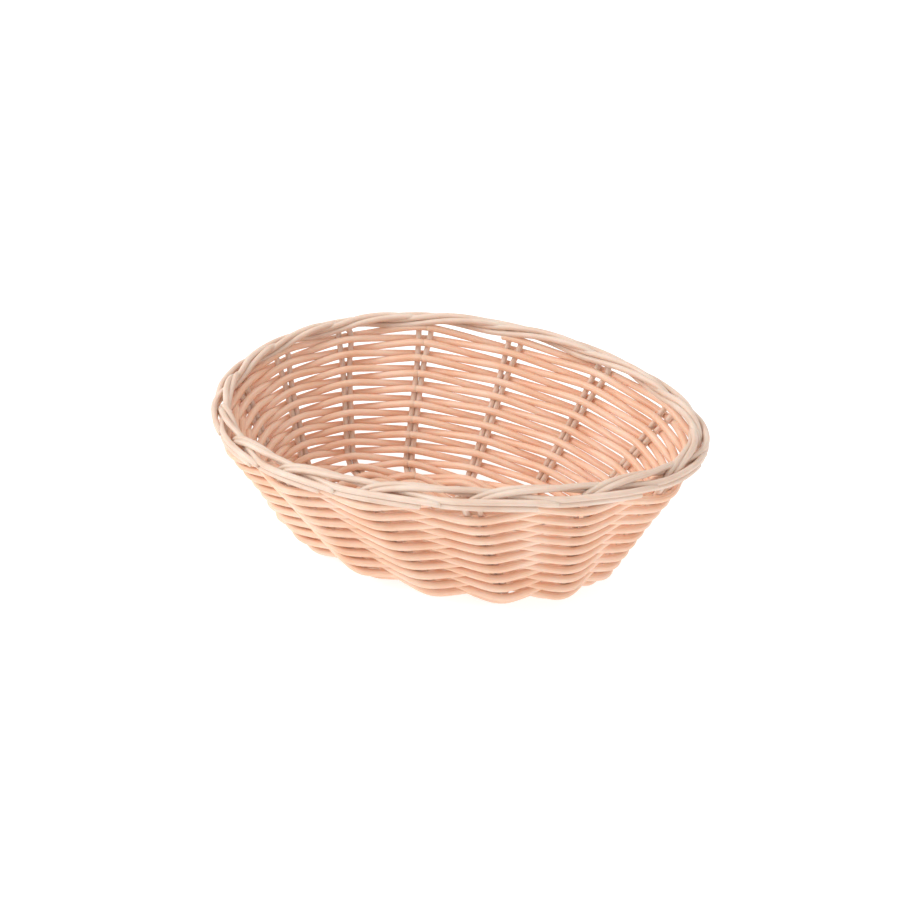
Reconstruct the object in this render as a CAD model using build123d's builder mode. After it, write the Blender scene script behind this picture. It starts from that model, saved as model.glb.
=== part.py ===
"""Oval fruit basket woven from round polypropylene cord.

Millimetres, +Z up, length along X, origin on the surface the basket stands on.
Fifteen pairs of upright stakes are woven through with one long spiral weaver.
Seven pairs of stakes run right across the base and one pair is a half pair.
The stakes' own ends are bent over and interlaced to make the rolled border.
"""
from build123d import *
import os
from math import atan2, cos, pi, radians, sin, sqrt

# ---- driving dimensions ----
WEAVER_D = 3.15            # diameter of the weaving cord
STAKE_D = 2.8              # diameter of the stake cord
LAY_CLEARANCE = 0.06       # air between a weaver and the stakes it passes
BUTT_GAP = 0.4             # gap where one turn of the weaver meets the next
STAKES = 15                # stake pairs round the basket
STAKE_PHASE = 10.0         # degrees, first stake pair at the rim
STAKE_CROWD = 8.0          # degrees, how far the pairs crowd towards the -X end
FOOT_CROWD = 1.0           # degrees, the same at the base
STAKE_LEAN = 10.0          # degrees, how far the feet are turned from the rim

RIM_A = 117.3              # half length of the middle of the rolled border
RIM_B = 76.8               # half width of the middle of the rolled border
RIM_Z = 67.6               # mean height at which the stakes leave the weave
RIM_RISE_X = 8.6           # the hand-woven rim stands higher at its +X end
RIM_RISE_Y = 0.2           # and very slightly at its +Y side
RIM_SAG = -2.2             # and dips at both ends
RIM_TWIST = -4.1           # and is twisted
BASE_A = 82.3              # half length of the base at its turned-up edge
BASE_B = 45.6              # half width of the base at its turned-up edge
BASE_Z = 4.55              # height of the stakes' middle line in the base
BASE_SHIFT_X = -3.0        # how far the base's middle is from the origin
BASE_SHIFT_Y = -7.1
EDGE_RUN = 9.0             # how far before and after the edge the stakes bend
TOP_ROOM = 1.0             # space over the last turn, in turns
SLATH_SQUARE = 3.6         # squareness of the first oval, 2 is an ellipse

SLATH_PITCH = 12.0         # spacing of the cross stakes in the middle of the base
SLATH_A = 39.0             # half length of the first woven oval round the crossing
SLATH_B = 11.5             # half width of the first woven oval round the crossing
LONG_Y = 3.6               # distance of each long stake pair from the middle line
CROSSING_LIFT = 1.43       # long stakes pass this far above, cross stakes below

BASE_ROWS = 8              # turns of weaver from the crossing to the edge bend
EDGE_ROWS = 4              # turns of weaver round the edge bend
WALL_ROWS = 17             # turns of weaver up the wall
OPEN_ROWS = 2              # first ovals, which take the end pairs two at a time
HALF_PAIR_ROW = 4          # oval at which the half pair is let in
SEAM = 4                   # stake pair behind which every turn begins and ends

PAIR_HALF = 1.46           # half the spacing of the two cords of a pair
PAIR_HALF_RIM = 2.7        # the same where the pair leaves the weave
PAIR_SPREAD_FROM = 0.62    # share of the wall's height where the pair parts
ROW_SLIDE = 0.9            # weavers sit higher outside the stakes than inside
BOW_FROM = 9.0             # shortest span of a base turn that bows outwards
CORNER_RUN = 1.35          # how far a weaver goes past a stake before it turns

FOOT_Z = 0.0               # the underside is rubbed flat at this height

# Path of a bent-over stake end along the border: spacings travelled, distance
# outwards from the border's middle and height above RIM_Z in millimetres.
LOWER_END = (
    (0.11, 0.2, 4.8),
    (0.23, 0.3, 7.0),
    (0.68, 0.3, 7.0),
    (0.80, 0.0, 4.6),
    (0.94, -3.1, 1.8),
    (1.12, -3.1, 1.6),
    (1.42, 0.0, 1.4),
    (1.76, 3.1, 1.4),
    (2.12, 3.2, 1.3),
    (2.27, 3.4, 0.9),
)
UPPER_END = (
    (0.00, -0.1, 5.2),
    (0.11, -1.6, 7.1),
    (0.24, -2.6, 7.3),
    (0.74, -2.6, 7.2),
    (0.95, -3.1, 4.6),
    (1.13, -3.1, 4.4),
    (1.42, 0.0, 4.2),
    (1.76, 3.1, 4.2),
    (2.14, 3.2, 4.1),
    (2.36, 3.4, 3.6),
)

WEAVER_OFFSET = STAKE_D / 2 + WEAVER_D / 2 + LAY_CLEARANCE
UP = Vector(0, 0, 1)
BASE_SHIFT = Vector(BASE_SHIFT_X, BASE_SHIFT_Y, BASE_Z)


# ---- the lines that the stakes follow ----
def rim_angle(k):
    nominal = radians(STAKE_PHASE + 360 / STAKES * k)
    return nominal + radians(STAKE_CROWD) * sin(nominal)


def oval(a, b, angle, z):
    return Vector(a * cos(angle), b * sin(angle), z)


def mix(p, q, t):
    return p + (q - p) * t


def across(x, a, b):
    return b * (1 - (abs(x) / a) ** SLATH_SQUARE) ** (1 / SLATH_SQUARE)


def ring_shape(row):
    """Half length, half width and squareness of a woven oval of the base."""
    t = row / BASE_ROWS
    a = SLATH_A + (BASE_A - EDGE_RUN - SLATH_A) * t
    b = SLATH_B + (BASE_B - EDGE_RUN - SLATH_B) * t
    return a, b, SLATH_SQUARE + (2 - SLATH_SQUARE) * t


def ring_share(start, end, row):
    """How far along a line from start to end the oval of a row is met."""
    a, b, n = ring_shape(row)
    low, high = 0.0, 1.3
    for halving in range(30):
        t = (low + high) / 2
        point = mix(start, end, t) - BASE_SHIFT
        inside = (abs(point.X) / a) ** n + (abs(point.Y) / b) ** n < 1
        low, high = (t, high) if inside else (low, t)
    return low


def ring_point(start, end, row):
    """Point of a row's oval halfway round between two points on it."""
    a, b, n = ring_shape(row)
    middle = mix(start, end, 0.5) - BASE_SHIFT
    size = ((abs(middle.X) / a) ** n + (abs(middle.Y) / b) ** n) ** (1 / n)
    bow = (1 / size - 1) * (1 - row / BASE_ROWS)
    return BASE_SHIFT + Vector(middle.X * (1 + bow), middle.Y * (1 + bow), middle.Z)


def rim_point(k):
    angle = rim_angle(k)
    height = RIM_Z + RIM_RISE_X * cos(angle) + RIM_RISE_Y * sin(angle)
    height += RIM_SAG * cos(2 * angle) + RIM_TWIST * sin(2 * angle)
    return oval(RIM_A, RIM_B, angle, height)


def edge_point(k):
    nominal = radians(STAKE_PHASE + 360 / STAKES * k)
    angle = nominal + radians(FOOT_CROWD) * sin(nominal) + radians(STAKE_LEAN)
    return oval(BASE_A, BASE_B, angle, BASE_Z) + Vector(BASE_SHIFT_X, BASE_SHIFT_Y, 0)


def slath_point(k):
    """Where stake pair k crosses the first woven oval."""
    k = k % STAKES
    if 1 <= k <= 5:
        x = SLATH_PITCH * (3 - k)
        return BASE_SHIFT + Vector(x, across(x, SLATH_A, SLATH_B), 0)
    if 9 <= k <= 13:
        x = SLATH_PITCH * (k - 11)
        return BASE_SHIFT + Vector(x, -across(x, SLATH_A, SLATH_B), 0)
    if k == 6:
        return BASE_SHIFT + Vector(-SLATH_A * 0.88, SLATH_B * 0.62, 0)
    end_x = across(LONG_Y, SLATH_B, SLATH_A)
    sign_x = 1 if k in (0, 14) else -1
    sign_y = 1 if k in (0, 7) else -1
    return BASE_SHIFT + Vector(sign_x * end_x, sign_y * LONG_Y, 0)


def bend_points(k):
    """Start, corner and end of the bend that turns stake pair k up the wall."""
    corner = edge_point(k)
    inward = (slath_point(k) - corner).normalized()
    upward = (rim_point(k) - corner).normalized()
    return corner + inward * EDGE_RUN, corner, corner + upward * EDGE_RUN


def wall_height(k):
    """Turns of weaver on the wall at pair k, so that the weave fills it evenly."""
    return WALL_ROWS - 1 + (k - SEAM) % STAKES / STAKES + TOP_ROOM


def stake_place(k, row):
    """Point and running direction of stake pair k at a row of weaving."""
    start, corner, end = bend_points(k)
    if row <= BASE_ROWS:
        origin = slath_point(k)
        share = ring_share(origin, start, row) / ring_share(origin, start, BASE_ROWS)
        return mix(origin, start, share), (start - origin).normalized()
    if row <= BASE_ROWS + EDGE_ROWS:
        t = (row - BASE_ROWS) / EDGE_ROWS
        first = mix(start, corner, t)
        second = mix(corner, end, t)
        return mix(first, second, t), (second - first).normalized()
    t = (row - BASE_ROWS - EDGE_ROWS) / wall_height(k)
    top = rim_point(k)
    return mix(end, top, t), (top - end).normalized()


def ring_tangent(point, row):
    a, b, n = ring_shape(row)
    x = point.X - BASE_SHIFT.X
    y = point.Y - BASE_SHIFT.Y
    slope_x = abs(x) ** (n - 1) / a ** n * (1 if x > 0 else -1)
    slope_y = abs(y) ** (n - 1) / b ** n * (1 if y > 0 else -1)
    return UP.cross(Vector(slope_x, slope_y, 0)).normalized()


def stake_frame(k, row):
    """Point, running direction, direction across it, outer normal, row's direction."""
    point, along = stake_place(k, row)
    if row <= BASE_ROWS:
        return point, along, UP.cross(along), UP * -1, ring_tangent(point, row)
    before = stake_place(k - 1, row)[0]
    after = stake_place(k + 1, row)[0]
    chord = (after - before).normalized()
    around = (chord - along * chord.dot(along)).normalized()
    normal = around.cross(along) * -1
    return point, along, around, normal, (chord - normal * chord.dot(normal)).normalized()


def pair_half(row):
    share = (row - BASE_ROWS - EDGE_ROWS) / WALL_ROWS
    spread = max(0.0, (share - PAIR_SPREAD_FROM) / (1 - PAIR_SPREAD_FROM))
    return PAIR_HALF + (PAIR_HALF_RIM - PAIR_HALF) * min(spread, 1.0)


# ---- cord along a route: straight runs joined by tangent arcs ----
def corner_radii(route, limit):
    radii = []
    for before, at, after in zip(route, route[1:], route[2:]):
        turn = radians((at - before).get_angle(after - at))
        shorter = min((at - before).length, (after - at).length)
        radii.append(min(limit, 0.45 * shorter / max(sin(turn / 2), 1e-3) * cos(turn / 2)))
    return radii


def weaver_reach(frame, row):
    """From a stake pair's middle to where the weaver turns beside it."""
    around, tangent = frame[2], frame[4]
    return tangent * ((pair_half(row) + CORNER_RUN) / max(tangent.dot(around), 0.55))


def row_route(first_row, rise, stations, side):
    """Route of one turn of weaver: stations are lists of stake pairs it takes
    together, side is +1 where it starts outside (below) and -1 inside."""
    route = []
    last_row = BASE_ROWS + EDGE_ROWS + WALL_ROWS - 1
    turns = stations if first_row == last_row else stations + stations[:1]
    for n, group in enumerate(turns):
        row = first_row + rise * n / len(stations)
        low = stake_frame(group[0], row)
        high = stake_frame(group[-1], row)
        normal = (low[3] + high[3]).normalized()
        slide = ROW_SLIDE * min(max(row - BASE_ROWS, 0) / EDGE_ROWS, 1)
        lift = normal * (side * WEAVER_OFFSET) + low[1] * (side * slide)
        enter = low[0] - weaver_reach(low, row) + lift
        leave = high[0] + weaver_reach(high, row) + lift
        middle = mix(low[0], high[0], 0.5) + lift
        around = (leave - enter).normalized()
        if n == 0:
            route += [middle + around * (BUTT_GAP / 2), leave]
        elif n == len(stations):
            route += [enter, middle - around * (BUTT_GAP / 2)]
        else:
            route += [enter, leave]
        if n > 0 and row < BASE_ROWS - 1 and (enter - last).length > BOW_FROM:
            route.insert(-2, ring_point(last, enter, row))
        last = leave
        side = -side
    return route


def stations_of(row):
    """Stake pairs taken one after another by a turn, beginning at the seam."""
    order = [(SEAM + n) % STAKES for n in range(STAKES)]
    if row < OPEN_ROWS:
        single = [[k] for k in order if k not in (6, 0, 8)]
        return [[14, 0] if g == [14] else [7, 8] if g == [7] else g for g in single]
    if row < HALF_PAIR_ROW:
        return [[k] for k in order if k != 6]
    return [[k] for k in order]


def border_route(k, ends):
    """Route of one stake end after it leaves the weave at pair k."""
    route = []
    for travel, outwards, height in ends:
        angle = rim_angle(k + travel)
        point = rim_point(k + travel) + UP * height
        normal = Vector(cos(angle) / RIM_A, sin(angle) / RIM_B, 0).normalized()
        route.append(point + normal * outwards)
    return route


def wall_route(k, hand):
    """One cord of pair k from the base to the top of the weave."""
    route = []
    rows = [HALF_PAIR_ROW - 0.4 if k == 6 else 1.2, BASE_ROWS]
    rows += [BASE_ROWS + step for step in range(1, EDGE_ROWS + 1)]
    rows += [BASE_ROWS + EDGE_ROWS + wall_height(k) * t for t in (PAIR_SPREAD_FROM, 1)]
    for row in rows:
        point, along, around, normal, tangent = stake_frame(k, row)
        route.append(point + around * (hand * pair_half(row)))
    return route


def stake_half_route(k, hand):
    ends = LOWER_END if hand > 0 else UPPER_END
    return wall_route(k, hand) + border_route(k, ends)


def crossing_route(k, hand):
    """Where a cord of pair k comes to the crossing in the middle of the base."""
    place = slath_point(k) - BASE_SHIFT
    along = (Vector(1, 0, 0) if k in (0, 14, 7, 8) else Vector(0, 1, 0))
    if place.dot(along) < 0:
        along = along * -1
    beside = BASE_SHIFT + place - along * place.dot(along) + UP.cross(along) * (hand * PAIR_HALF)
    if k in (0, 14, 7, 8):
        outer, inner, lift = SLATH_A * 0.9, SLATH_PITCH * 2 + 5.5, CROSSING_LIFT
    else:
        outer, inner, lift = SLATH_B * 0.88, LONG_Y + 3.0, -CROSSING_LIFT
    return [beside + along * outer, beside + along * inner + UP * lift]


def cord_route(k, partner, hand):
    """A whole stake cord: border, wall, base, the far wall and the far border.
    A cord with no partner begins in the base."""
    near = stake_half_route(k, hand)
    if partner is None:
        return near
    far = stake_half_route(partner, -hand)
    return (near[::-1] + crossing_route(k, hand)
            + crossing_route(partner, -hand)[::-1] + far)


STAKE_CORDS = {
    "cross_stake_1": (1, 13),
    "cross_stake_2": (2, 12),
    "cross_stake_3": (3, 11),
    "cross_stake_4": (4, 10),
    "cross_stake_5": (5, 9),
    "long_stake_1": (0, 7),
    "long_stake_2": (14, 8),
    "half_stake_": (6, None),
}


# ---- build ----
os.makedirs("parts", exist_ok=True)

side = 1
for row in range(BASE_ROWS + EDGE_ROWS + WALL_ROWS):
    rise = 0 if row < HALF_PAIR_ROW else 1
    route = row_route(row, rise, stations_of(row), side)
    side = -side
    label = f"base_row_{row + 1:02d}"
    if row >= BASE_ROWS:
        label = f"wall_row_{row + 1 - BASE_ROWS:02d}"
    with BuildPart() as weaver:
        with BuildLine() as path:
            line = FilletPolyline(*route, radius=corner_radii(route, 6.0))
        with BuildSketch(Plane(line @ 0, z_dir=line % 0)):
            Circle(WEAVER_D / 2)
        sweep()
        if row < BASE_ROWS + 2:
            split(bisect_by=Plane.XY.offset(FOOT_Z), keep=Keep.TOP)
    weaver.part.label = label
    export_step(weaver.part, f"parts/{label}.step")
    swept = pi / 4 * WEAVER_D ** 2 * line.length
    print(label, round(weaver.part.volume / swept, 4), len(weaver.solids()))

for name, (k, partner) in STAKE_CORDS.items():
    for letter, hand in (("a", 1), ("b", -1)):
        label = f"{name}{letter}"
        route = cord_route(k, partner, hand)
        with BuildPart() as stake:
            with BuildLine() as path:
                line = FilletPolyline(*route, radius=corner_radii(route, 9.0))
            with BuildSketch(Plane(line @ 0, z_dir=line % 0)):
                Circle(STAKE_D / 2)
            sweep()
        stake.part.label = label
        export_step(stake.part, f"parts/{label}.step")
        swept = pi / 4 * STAKE_D ** 2 * line.length
        print(label, round(stake.part.volume / swept, 4), len(stake.solids()))
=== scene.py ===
"""Oval fruit basket woven from round polypropylene cord: visual model.

Metres, same frame as the CAD. Every cord of the basket is one swept mesh on a
smooth line: one turn of the long spiral weaver per piece, and whole stake cords
that run from border to border through the base.
"""
import math
import random
import bpy
import numpy as np
from mathutils import Matrix, Vector


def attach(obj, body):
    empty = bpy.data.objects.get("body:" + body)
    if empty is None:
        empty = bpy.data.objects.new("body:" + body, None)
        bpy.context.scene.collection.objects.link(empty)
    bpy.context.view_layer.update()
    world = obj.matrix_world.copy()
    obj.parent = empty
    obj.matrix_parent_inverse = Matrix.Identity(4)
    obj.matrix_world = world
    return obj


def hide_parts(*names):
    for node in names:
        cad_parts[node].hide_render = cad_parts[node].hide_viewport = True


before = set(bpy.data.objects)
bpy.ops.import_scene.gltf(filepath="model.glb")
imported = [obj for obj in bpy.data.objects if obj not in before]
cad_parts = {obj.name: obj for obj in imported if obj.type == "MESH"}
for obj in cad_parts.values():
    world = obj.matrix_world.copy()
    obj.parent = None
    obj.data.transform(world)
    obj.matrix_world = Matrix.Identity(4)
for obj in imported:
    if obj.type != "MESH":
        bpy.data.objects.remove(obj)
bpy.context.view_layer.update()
random.seed(17)

MM = 0.001

# ---- camera, at the angle and distance of a product shot ----
LOOK_TURN = 24.54         # degrees that the camera stands round towards +X
LOOK_DOWN = 33.65         # degrees above the horizon
STAND_OFF = 0.8435
LENS = 69.0

turn = Matrix.Rotation(math.radians(LOOK_TURN), 4, "Z")
down = math.radians(LOOK_DOWN)
back = Vector((0, -math.cos(down), math.sin(down)))
up = Vector((0, math.sin(down), math.cos(down)))
right = Vector((1, 0, 0))
cam_data = bpy.data.cameras.new("camera")
cam_data.lens = LENS
cam_data.sensor_width = 36
cam_data.clip_start = 0.05
cam_data.clip_end = 50
camera = bpy.data.objects.new("camera", cam_data)
bpy.context.scene.collection.objects.link(camera)
spot = turn @ (back * STAND_OFF + up * 0.04165) + Vector((0, -0.0025, 0))
axes = Matrix((right, up, back)).transposed().to_4x4()
camera.matrix_world = Matrix.Translation(spot) @ turn @ axes
bpy.context.scene.camera = camera

# ---- sizes of the basket, millimetres ----
WEAVER_D = 3.6
STAKE_D = 2.9
STAKES = 15
STAKE_PHASE = 10.0
STAKE_CROWD = 8.0
FOOT_CROWD = 1.0
STAKE_LEAN = 10.0
RIM_A, RIM_B, RIM_Z = 117.3, 76.8, 67.6
RIM_RISE_X, RIM_RISE_Y, RIM_SAG, RIM_TWIST = 8.6, 0.2, -2.2, -4.1
BASE_A, BASE_B, BASE_Z = 82.3, 45.6, 5.65
BASE_SHIFT = np.array([-3.0, -7.1, BASE_Z])
EDGE_RUN = 9.0
TOP_ROOM = 0.45
SLATH_SQUARE = 3.6
SLATH_PITCH = 12.0
SLATH_A, SLATH_B = 39.0, 11.5
LONG_Y = 3.6
CROSSING_LIFT = 1.45
BASE_ROWS, EDGE_ROWS, WALL_ROWS = 8, 4, 17
OPEN_ROWS = 2
HALF_PAIR_ROW = 4
SEAM = 4
PAIR_HALF = 1.46
PAIR_HALF_RIM = 3.2
PAIR_SPREAD_FROM = 0.60
CORNER_RUN = 1.0
ROW_SLIDE = 0.85
BOW_FROM = 9.0
WEAVER_OFFSET = STAKE_D / 2 + WEAVER_D / 2 - 0.1
UP = np.array([0.0, 0.0, 1.0])
CORD_SIDES = 14

LOWER_END = (
    (0.06, 0.5, 2.2),
    (0.20, 0.1, 5.0),
    (0.42, -0.6, 6.9),
    (0.74, -1.3, 7.2),
    (1.02, -2.5, 6.3),
    (1.26, -2.1, 4.8),
    (1.50, -0.1, 4.1),
    (1.76, 2.5, 4.1),
    (2.02, 3.3, 4.2),
    (2.40, 3.5, 3.9),
    (2.74, 3.2, 2.6),
)
UPPER_END = (
    (0.02, -0.7, 3.6),
    (0.18, -1.9, 6.2),
    (0.42, -3.2, 6.8),
    (0.74, -3.7, 5.6),
    (1.02, -3.3, 3.4),
    (1.26, -2.3, 1.8),
    (1.50, -0.2, 1.4),
    (1.76, 2.3, 1.4),
    (2.04, 3.2, 1.4),
    (2.36, 3.2, 1.0),
    (2.56, 2.7, 0.2),
)


def unit(v):
    return v / max(np.linalg.norm(v), 1e-9)


def mix(p, q, t):
    return p + (q - p) * t


def rim_angle(k):
    nominal = math.radians(STAKE_PHASE + 360 / STAKES * k)
    return nominal + math.radians(STAKE_CROWD) * math.sin(nominal)


def oval(a, b, angle, z):
    return np.array([a * math.cos(angle), b * math.sin(angle), z])


def rim_point(k):
    angle = rim_angle(k)
    height = RIM_Z + RIM_RISE_X * math.cos(angle) + RIM_RISE_Y * math.sin(angle)
    height += RIM_SAG * math.cos(2 * angle) + RIM_TWIST * math.sin(2 * angle)
    return oval(RIM_A, RIM_B, angle, height)


def edge_point(k):
    nominal = math.radians(STAKE_PHASE + 360 / STAKES * k)
    angle = nominal + math.radians(FOOT_CROWD) * math.sin(nominal) + math.radians(STAKE_LEAN)
    return oval(BASE_A, BASE_B, angle, 0) + BASE_SHIFT


def across(x, a, b):
    return b * (1 - (abs(x) / a) ** SLATH_SQUARE) ** (1 / SLATH_SQUARE)


def slath_point(k):
    k = k % STAKES
    if 1 <= k <= 5:
        x = SLATH_PITCH * (3 - k)
        return BASE_SHIFT + np.array([x, across(x, SLATH_A, SLATH_B), 0])
    if 9 <= k <= 13:
        x = SLATH_PITCH * (k - 11)
        return BASE_SHIFT + np.array([x, -across(x, SLATH_A, SLATH_B), 0])
    if k == 6:
        return BASE_SHIFT + np.array([-SLATH_A * 0.88, SLATH_B * 0.62, 0])
    end_x = across(LONG_Y, SLATH_B, SLATH_A)
    sign_x = 1 if k in (0, 14) else -1
    sign_y = 1 if k in (0, 7) else -1
    return BASE_SHIFT + np.array([sign_x * end_x, sign_y * LONG_Y, 0])


def bend_points(k):
    corner = edge_point(k)
    inward = unit(slath_point(k) - corner)
    upward = unit(rim_point(k) - corner)
    return corner + inward * EDGE_RUN, corner, corner + upward * EDGE_RUN


def ring_shape(row):
    t = row / BASE_ROWS
    a = SLATH_A + (BASE_A - EDGE_RUN - SLATH_A) * t
    b = SLATH_B + (BASE_B - EDGE_RUN - SLATH_B) * t
    return a, b, SLATH_SQUARE + (2 - SLATH_SQUARE) * t


def ring_share(start, end, row):
    a, b, n = ring_shape(row)
    low, high = 0.0, 1.3
    for _ in range(22):
        t = (low + high) / 2
        point = mix(start, end, t) - BASE_SHIFT
        inside = (abs(point[0]) / a) ** n + (abs(point[1]) / b) ** n < 1
        low, high = (t, high) if inside else (low, t)
    return low


def wall_height(k):
    return WALL_ROWS - 1 + (k - SEAM) % STAKES / STAKES + TOP_ROOM


def stake_place(k, row):
    start, corner, end = bend_points(k)
    if row <= BASE_ROWS:
        origin = slath_point(k)
        share = ring_share(origin, start, row) / ring_share(origin, start, BASE_ROWS)
        return mix(origin, start, share), unit(start - origin)
    if row <= BASE_ROWS + EDGE_ROWS:
        t = (row - BASE_ROWS) / EDGE_ROWS
        first = mix(start, corner, t)
        second = mix(corner, end, t)
        return mix(first, second, t), unit(second - first)
    t = (row - BASE_ROWS - EDGE_ROWS) / wall_height(k)
    top = rim_point(k)
    return mix(end, top, t), unit(top - end)


def ring_tangent(point, row):
    a, b, n = ring_shape(row)
    x, y = (point - BASE_SHIFT)[:2]
    slope_x = abs(x) ** (n - 1) / a ** n * (1 if x > 0 else -1)
    slope_y = abs(y) ** (n - 1) / b ** n * (1 if y > 0 else -1)
    return unit(np.cross(UP, np.array([slope_x, slope_y, 0.0])))


def stake_frame(k, row):
    point, along = stake_place(k, row)
    if row <= BASE_ROWS:
        return point, along, np.cross(UP, along), -UP, ring_tangent(point, row)
    before = stake_place(k - 1, row)[0]
    after = stake_place(k + 1, row)[0]
    chord = unit(after - before)
    around = unit(chord - along * chord.dot(along))
    normal = -np.cross(around, along)
    return point, along, around, normal, unit(chord - normal * chord.dot(normal))


def pair_half(row):
    share = (row - BASE_ROWS - EDGE_ROWS) / WALL_ROWS
    spread = max(0.0, (share - PAIR_SPREAD_FROM) / (1 - PAIR_SPREAD_FROM))
    return PAIR_HALF + (PAIR_HALF_RIM - PAIR_HALF) * min(spread, 1.0) ** 1.2


def weaver_reach(place, row):
    around, tangent = place[2], place[4]
    return tangent * ((pair_half(row) + CORNER_RUN) / max(tangent.dot(around), 0.55))


def ring_point(start, end, row):
    a, b, n = ring_shape(row)
    middle = mix(start, end, 0.5) - BASE_SHIFT
    size = ((abs(middle[0]) / a) ** n + (abs(middle[1]) / b) ** n) ** (1 / n)
    bow = (1 / size - 1) * (1 - row / BASE_ROWS)
    return BASE_SHIFT + np.array([middle[0] * (1 + bow), middle[1] * (1 + bow), middle[2]])


def stations_of(row):
    order = [(SEAM + n) % STAKES for n in range(STAKES)]
    if row < OPEN_ROWS:
        single = [[k] for k in order if k not in (6, 0, 8)]
        return [[14, 0] if g == [14] else [7, 8] if g == [7] else g for g in single]
    if row < HALF_PAIR_ROW:
        return [[k] for k in order if k != 6]
    return [[k] for k in order]


def row_route(first_row, rise, side, chance):
    """One turn of weaver, with a lead-in and lead-out point past each end."""
    stations = stations_of(first_row)
    count = len(stations)
    route = []
    last = None
    marks = []
    for n in range(-1, count + 2):
        group = stations[n % count]
        row = first_row + rise * n / count
        low = stake_frame(group[0], row)
        high = stake_frame(group[-1], row)
        normal = unit(low[3] + high[3])
        way = side if n % 2 == 0 else -side
        lift = normal * (way * (WEAVER_OFFSET + chance.uniform(-0.10, 0.14)))
        slide = min(max(row - BASE_ROWS, 0) / EDGE_ROWS, 1.0) * ROW_SLIDE
        lift = lift + low[1] * (way * slide)
        shuffle = low[1] * chance.uniform(-0.22, 0.22) if 0 < n < count else 0
        enter = low[0] - weaver_reach(low, row) + lift + shuffle
        leave = high[0] + weaver_reach(high, row) + lift + shuffle
        if last is not None and row < BASE_ROWS - 1 and np.linalg.norm(enter - last) > BOW_FROM:
            route.append(ring_point(last, enter, row))
        marks.append(len(route))
        route += [enter, leave]
        last = leave
    return route, marks, count


def smooth_line(points, step):
    """Centripetal Catmull-Rom line through the points, evenly divided."""
    pts = [np.asarray(p, float) for p in points]
    pts = [2 * pts[0] - pts[1]] + pts + [2 * pts[-1] - pts[-2]]
    out = []
    owner = []
    for i in range(1, len(pts) - 2):
        p0, p1, p2, p3 = pts[i - 1], pts[i], pts[i + 1], pts[i + 2]
        t0 = 0.0
        t1 = t0 + max(np.linalg.norm(p1 - p0), 1e-6) ** 0.5
        t2 = t1 + max(np.linalg.norm(p2 - p1), 1e-6) ** 0.5
        t3 = t2 + max(np.linalg.norm(p3 - p2), 1e-6) ** 0.5
        n = max(2, int(np.linalg.norm(p2 - p1) / step + 0.5))
        t = np.linspace(t1, t2, n, endpoint=False)[:, None]
        a1 = (t1 - t) / (t1 - t0) * p0 + (t - t0) / (t1 - t0) * p1
        a2 = (t2 - t) / (t2 - t1) * p1 + (t - t1) / (t2 - t1) * p2
        a3 = (t3 - t) / (t3 - t2) * p2 + (t - t2) / (t3 - t2) * p3
        b1 = (t2 - t) / (t2 - t0) * a1 + (t - t0) / (t2 - t0) * a2
        b2 = (t3 - t) / (t3 - t1) * a2 + (t - t1) / (t3 - t1) * a3
        c = (t2 - t) / (t2 - t1) * b1 + (t - t1) / (t2 - t1) * b2
        out.append(c)
        owner += [i - 1] * n
    out.append(pts[-2][None, :])
    owner.append(len(points) - 1)
    return np.concatenate(out), np.array(owner)


def soften(line, rounds):
    for _ in range(rounds):
        line[1:-1] = line[1:-1] * 0.5 + (line[:-2] + line[2:]) * 0.25
    return line


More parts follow.
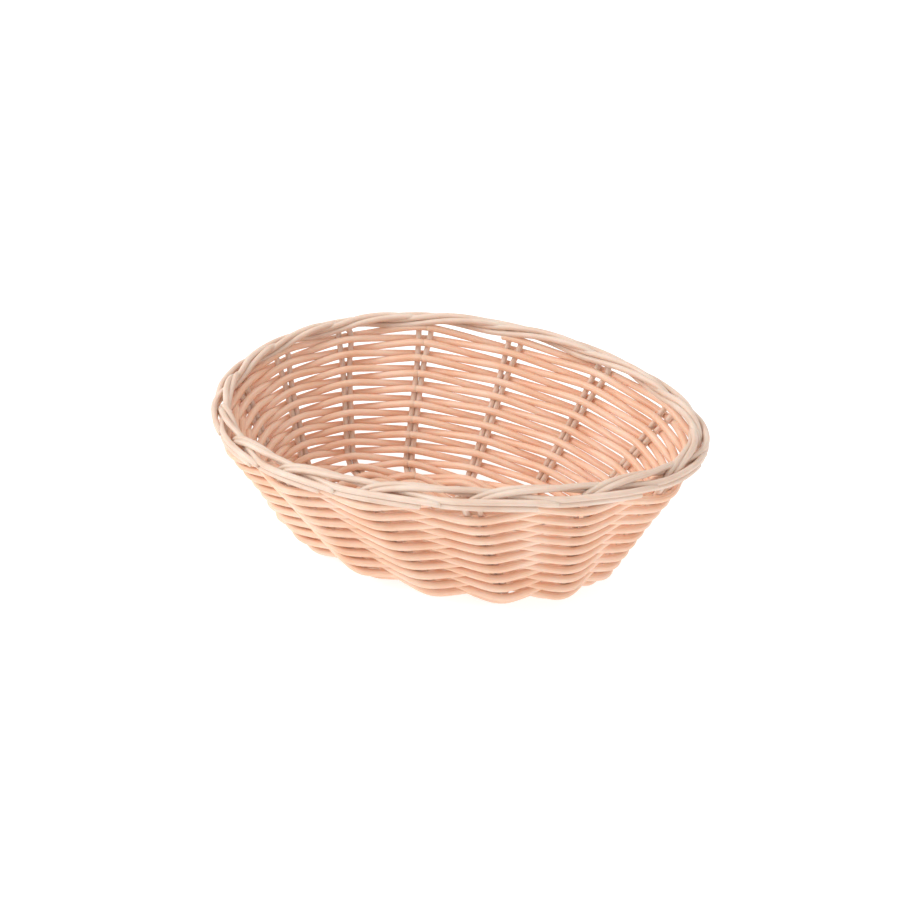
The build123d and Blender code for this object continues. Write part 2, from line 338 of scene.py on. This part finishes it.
def cord_mesh(name, line, radius, sides, material):
    """Round cord along a line in millimetres, with a UV map along and around.
    Its ends are domed a little, as a sheared cord's are."""
    n = len(line)
    tangent = np.gradient(line, axis=0)
    tangent /= np.linalg.norm(tangent, axis=1)[:, None]
    normal = np.zeros_like(line)
    first = np.cross(tangent[0], UP)
    if np.linalg.norm(first) < 0.2:
        first = np.cross(tangent[0], np.array([1.0, 0, 0]))
    normal[0] = unit(first)
    for i in range(1, n):
        v = normal[i - 1] - tangent[i] * normal[i - 1].dot(tangent[i])
        normal[i] = unit(v)
    binormal = np.cross(tangent, normal)
    length = np.concatenate([[0], np.cumsum(np.linalg.norm(np.diff(line, axis=0), axis=1))])
    angle = np.arange(sides) / sides * 2 * math.pi
    ring = (np.cos(angle)[None, :, None] * normal[:, None, :]
            + np.sin(angle)[None, :, None] * binormal[:, None, :])
    vertices = line[:, None, :] + ring * radius
    caps = []
    for end, way in ((0, -1), (n - 1, 1)):
        dome = line[end] + ring[end] * radius * 0.72 + tangent[end] * way * radius * 0.22
        tip = line[end] + tangent[end] * way * radius * 0.26
        caps.append((dome, tip))
    points = np.concatenate([vertices.reshape(-1, 3), caps[0][0], caps[1][0],
                             caps[0][1][None], caps[1][1][None]]) * MM
    faces = []
    for i in range(n - 1):
        for j in range(sides):
            k = (j + 1) % sides
            here, above = i * sides, (i + 1) * sides
            faces.append((here + j, here + k, above + k, above + j))
    quads = len(faces)
    start = n * sides
    for j in range(sides):
        k = (j + 1) % sides
        faces.append((start + j, start + k, k, j))
        final = (n - 1) * sides
        faces.append((final + j, final + k, start + sides + k, start + sides + j))
        faces.append((start + 2 * sides, start + k, start + j))
        faces.append((start + sides + j, start + sides + k, start + 2 * sides + 1))
    mesh = bpy.data.meshes.new(name)
    mesh.from_pydata(points.tolist(), [], faces)
    uv = mesh.uv_layers.new(name="cord")
    data = np.zeros((len(mesh.loops), 2), np.float32)
    ii = np.repeat(np.arange(n - 1), sides)
    jj = np.tile(np.arange(sides), n - 1)
    shift = random.uniform(0, 3)
    for corner, (di, dj) in enumerate(((0, 0), (0, 1), (1, 1), (1, 0))):
        data[corner:quads * 4:4, 0] = length[ii + di] / 10 + shift
        data[corner:quads * 4:4, 1] = (jj + dj) / sides
    data[quads * 4:, 0] = shift
    data[quads * 4:, 1] = 0.5
    uv.data.foreach_set("uv", data.ravel())
    mesh.polygons.foreach_set("use_smooth", np.ones(len(mesh.polygons), bool))
    mesh.materials.append(material)
    mesh.update()
    obj = bpy.data.objects.new(name, mesh)
    bpy.context.scene.collection.objects.link(obj)
    return obj


# ---- materials ----
def cord_material(name, base, deep, pale, rough, glow):
    m = bpy.data.materials.new(name)
    m.use_nodes = True
    nt = m.node_tree
    nodes, links = nt.nodes, nt.links
    shader = nodes["Principled BSDF"]
    uv = nodes.new("ShaderNodeUVMap")
    uv.uv_map = "cord"
    lines = nodes.new("ShaderNodeMapping")
    lines.inputs["Scale"].default_value = (0.35, 26.0, 1.0)
    links.new(uv.outputs["UV"], lines.inputs["Vector"])
    streak = nodes.new("ShaderNodeTexNoise")
    streak.inputs["Scale"].default_value = 1.0
    streak.inputs["Detail"].default_value = 4.0
    streak.inputs["Roughness"].default_value = 0.6
    links.new(lines.outputs["Vector"], streak.inputs["Vector"])
    place = nodes.new("ShaderNodeTexCoord")
    cloud = nodes.new("ShaderNodeTexNoise")
    cloud.inputs["Scale"].default_value = 55.0
    cloud.inputs["Detail"].default_value = 3.0
    links.new(place.outputs["Object"], cloud.inputs["Vector"])
    blend = nodes.new("ShaderNodeMath")
    blend.operation = "MULTIPLY_ADD"
    blend.inputs[1].default_value = 0.55
    links.new(streak.outputs["Fac"], blend.inputs[0])
    part = nodes.new("ShaderNodeMath")
    part.operation = "MULTIPLY"
    part.inputs[1].default_value = 0.45
    links.new(cloud.outputs["Fac"], part.inputs[0])
    links.new(part.outputs[0], blend.inputs[2])
    ramp = nodes.new("ShaderNodeValToRGB")
    ramp.color_ramp.elements[0].position = 0.34
    ramp.color_ramp.elements[0].color = (*deep, 1)
    ramp.color_ramp.elements[1].position = 0.66
    ramp.color_ramp.elements[1].color = (*pale, 1)
    middle = ramp.color_ramp.elements.new(0.5)
    middle.color = (*base, 1)
    links.new(blend.outputs[0], ramp.inputs["Fac"])
    links.new(ramp.outputs["Color"], shader.inputs["Base Color"])
    satin = nodes.new("ShaderNodeMapRange")
    satin.inputs["To Min"].default_value = rough - 0.07
    satin.inputs["To Max"].default_value = rough + 0.09
    links.new(streak.outputs["Fac"], satin.inputs["Value"])
    links.new(satin.outputs["Result"], shader.inputs["Roughness"])
    grain = nodes.new("ShaderNodeMapping")
    grain.inputs["Scale"].default_value = (22.0, 7.0, 1.0)
    links.new(uv.outputs["UV"], grain.inputs["Vector"])
    cross = nodes.new("ShaderNodeTexNoise")
    cross.inputs["Scale"].default_value = 1.0
    cross.inputs["Detail"].default_value = 2.0
    links.new(grain.outputs["Vector"], cross.inputs["Vector"])
    height = nodes.new("ShaderNodeMath")
    height.operation = "MULTIPLY_ADD"
    height.inputs[1].default_value = 0.22
    links.new(cross.outputs["Fac"], height.inputs[0])
    links.new(streak.outputs["Fac"], height.inputs[2])
    bump = nodes.new("ShaderNodeBump")
    bump.inputs["Strength"].default_value = 0.34
    bump.inputs["Distance"].default_value = 0.00022
    links.new(height.outputs[0], bump.inputs["Height"])
    links.new(bump.outputs["Normal"], shader.inputs["Normal"])
    shader.inputs["Subsurface Weight"].default_value = glow
    shader.inputs["Subsurface Radius"].default_value = (1.0, 0.5, 0.28)
    shader.inputs["Subsurface Scale"].default_value = 0.0035
    shader.inputs["IOR"].default_value = 1.49
    shader.inputs["Specular IOR Level"].default_value = 0.45
    return m


weaver_look = cord_material(
    "weaver_cord", (0.88, 0.59, 0.435), (0.81, 0.47, 0.30), (0.93, 0.69, 0.555), 0.42, 0.3)
stake_look = cord_material(
    "stake_cord", (0.77, 0.59, 0.48), (0.65, 0.46, 0.35), (0.85, 0.70, 0.60), 0.40, 0.25)

# ---- the weaver, one turn a piece ----
side = 1
for row in range(BASE_ROWS + EDGE_ROWS + WALL_ROWS):
    rise = 0 if row < HALF_PAIR_ROW else 1
    row_chance = random.Random(100 + row)
    route, marks, count = row_route(row, rise, side, row_chance)
    side = -side
    line, owner = smooth_line(route, 2.2)
    begin = int(np.searchsorted(owner, marks[1])) + 1
    last_row = row == BASE_ROWS + EDGE_ROWS + WALL_ROWS - 1
    stop = marks[count] + 1 if last_row else marks[count + 1]
    end = int(np.searchsorted(owner, stop)) + 1
    line = soften(line, 3)[begin:end + 1]
    name = f"base_row_{row + 1:02d}" if row < BASE_ROWS else f"wall_row_{row + 1 - BASE_ROWS:02d}"
    cord = cord_mesh("cord_" + name, line, WEAVER_D / 2, CORD_SIDES, weaver_look)
    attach(cord, "root")
    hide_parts(name)


# ---- the stakes and the border they are bent into ----
def border_route(k, ends, loose):
    route = []
    for travel, outwards, height in ends:
        angle = rim_angle(k + travel)
        point = rim_point(k + travel) + UP * height
        normal = unit(np.array([math.cos(angle) / RIM_A, math.sin(angle) / RIM_B, 0]))
        wander = loose.uniform(-0.2, 0.2)
        route.append(point + normal * (outwards + wander) + UP * loose.uniform(-0.15, 0.15))
    return route


def wall_route(k, hand):
    route = []
    rows = [HALF_PAIR_ROW - 0.4 if k == 6 else 0.4, BASE_ROWS]
    rows += [BASE_ROWS + n for n in range(1, EDGE_ROWS + 1)]
    rows += [BASE_ROWS + EDGE_ROWS + wall_height(k) * t for t in (0.25, 0.5, 0.75, 1.0)]
    for row in rows:
        point, along, around, normal, tangent = stake_frame(k, row)
        route.append(point + around * (hand * pair_half(row)))
    return route


def stake_half_route(k, hand):
    ends = LOWER_END if hand > 0 else UPPER_END
    loose = random.Random(k * 7 + (1 if hand > 0 else 2))
    return wall_route(k, hand) + border_route(k, ends, loose)


def crossing_route(k, hand):
    place = slath_point(k) - BASE_SHIFT
    long_way = k in (0, 14, 7, 8)
    along = np.array([1.0, 0, 0]) if long_way else np.array([0, 1.0, 0])
    if place.dot(along) < 0:
        along = -along
    sideways = np.cross(UP, along) * (hand * PAIR_HALF)
    beside = BASE_SHIFT + place - along * place.dot(along) + sideways
    if long_way:
        outer, inner, lift = SLATH_A * 0.9, SLATH_PITCH * 2 + 5.5, CROSSING_LIFT
    else:
        outer, inner, lift = SLATH_B * 0.88, LONG_Y + 3.0, -CROSSING_LIFT
    return [beside + along * outer, beside + along * inner + UP * lift]


def cord_route(k, partner, hand):
    near = stake_half_route(k, hand)
    if partner is None:
        return near
    far = stake_half_route(partner, -hand)
    return (near[::-1] + crossing_route(k, hand)
            + crossing_route(partner, -hand)[::-1] + far)


STAKE_CORDS = {
    "cross_stake_1": (1, 13),
    "cross_stake_2": (2, 12),
    "cross_stake_3": (3, 11),
    "cross_stake_4": (4, 10),
    "cross_stake_5": (5, 9),
    "long_stake_1": (0, 7),
    "long_stake_2": (14, 8),
    "half_stake_": (6, None),
}

for name, (k, partner) in STAKE_CORDS.items():
    for letter, hand in (("a", 1), ("b", -1)):
        route = cord_route(k, partner, hand)
        line, owner = smooth_line(route, 1.6)
        line = soften(line, 3)
        cord = cord_mesh("cord_" + name + letter, line, STAKE_D / 2, CORD_SIDES, stake_look)
        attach(cord, "root")
        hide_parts(name + letter)

# ---- floor and light ----
floor_mesh = bpy.data.meshes.new("floor")
floor_mesh.from_pydata([(-8, -8, 0), (8, -8, 0), (8, 8, 0), (-8, 8, 0)], [], [(0, 1, 2, 3)])
floor = bpy.data.objects.new("floor", floor_mesh)
floor.location.z = -0.0002
bpy.context.scene.collection.objects.link(floor)
white = bpy.data.materials.new("floor")
white.use_nodes = True
sheet = white.node_tree.nodes["Principled BSDF"]
sheet.inputs["Base Color"].default_value = (0.55, 0.55, 0.55, 1)
sheet.inputs["Roughness"].default_value = 0.9
sheet.inputs["Specular IOR Level"].default_value = 0.0
sheet.inputs["Emission Color"].default_value = (1, 1, 1, 1)
sheet.inputs["Emission Strength"].default_value = 0.7
floor_mesh.materials.append(white)


def area_light(name, place, target, size, power, color):
    data = bpy.data.lights.new(name, "AREA")
    data.shape = "RECTANGLE"
    data.size, data.size_y = size
    data.energy = power
    data.color = color
    obj = bpy.data.objects.new(name, data)
    obj.location = place
    way = Vector(target) - Vector(place)
    obj.rotation_euler = way.to_track_quat("-Z", "Y").to_euler()
    bpy.context.scene.collection.objects.link(obj)
    return obj


area_light("key", (-1.15, -0.6, 1.0), (0, 0, 0.03), (0.9, 0.9), 13, (1.0, 0.985, 0.97))
area_light("fill", (1.2, -0.7, 0.8), (0, 0, 0.03), (1.0, 1.0), 2.0, (1.0, 0.99, 0.98))
area_light("top", (0.1, 0.5, 1.5), (0, 0, 0.03), (1.2, 1.2), 3.5, (1.0, 1.0, 1.0))
world = bpy.data.worlds.new("world")
world.use_nodes = True
world.node_tree.nodes["Background"].inputs["Color"].default_value = (1, 1, 1, 1)
world.node_tree.nodes["Background"].inputs["Strength"].default_value = 0.72
bpy.context.scene.world = world
bpy.context.scene.view_settings.view_transform = "Standard"
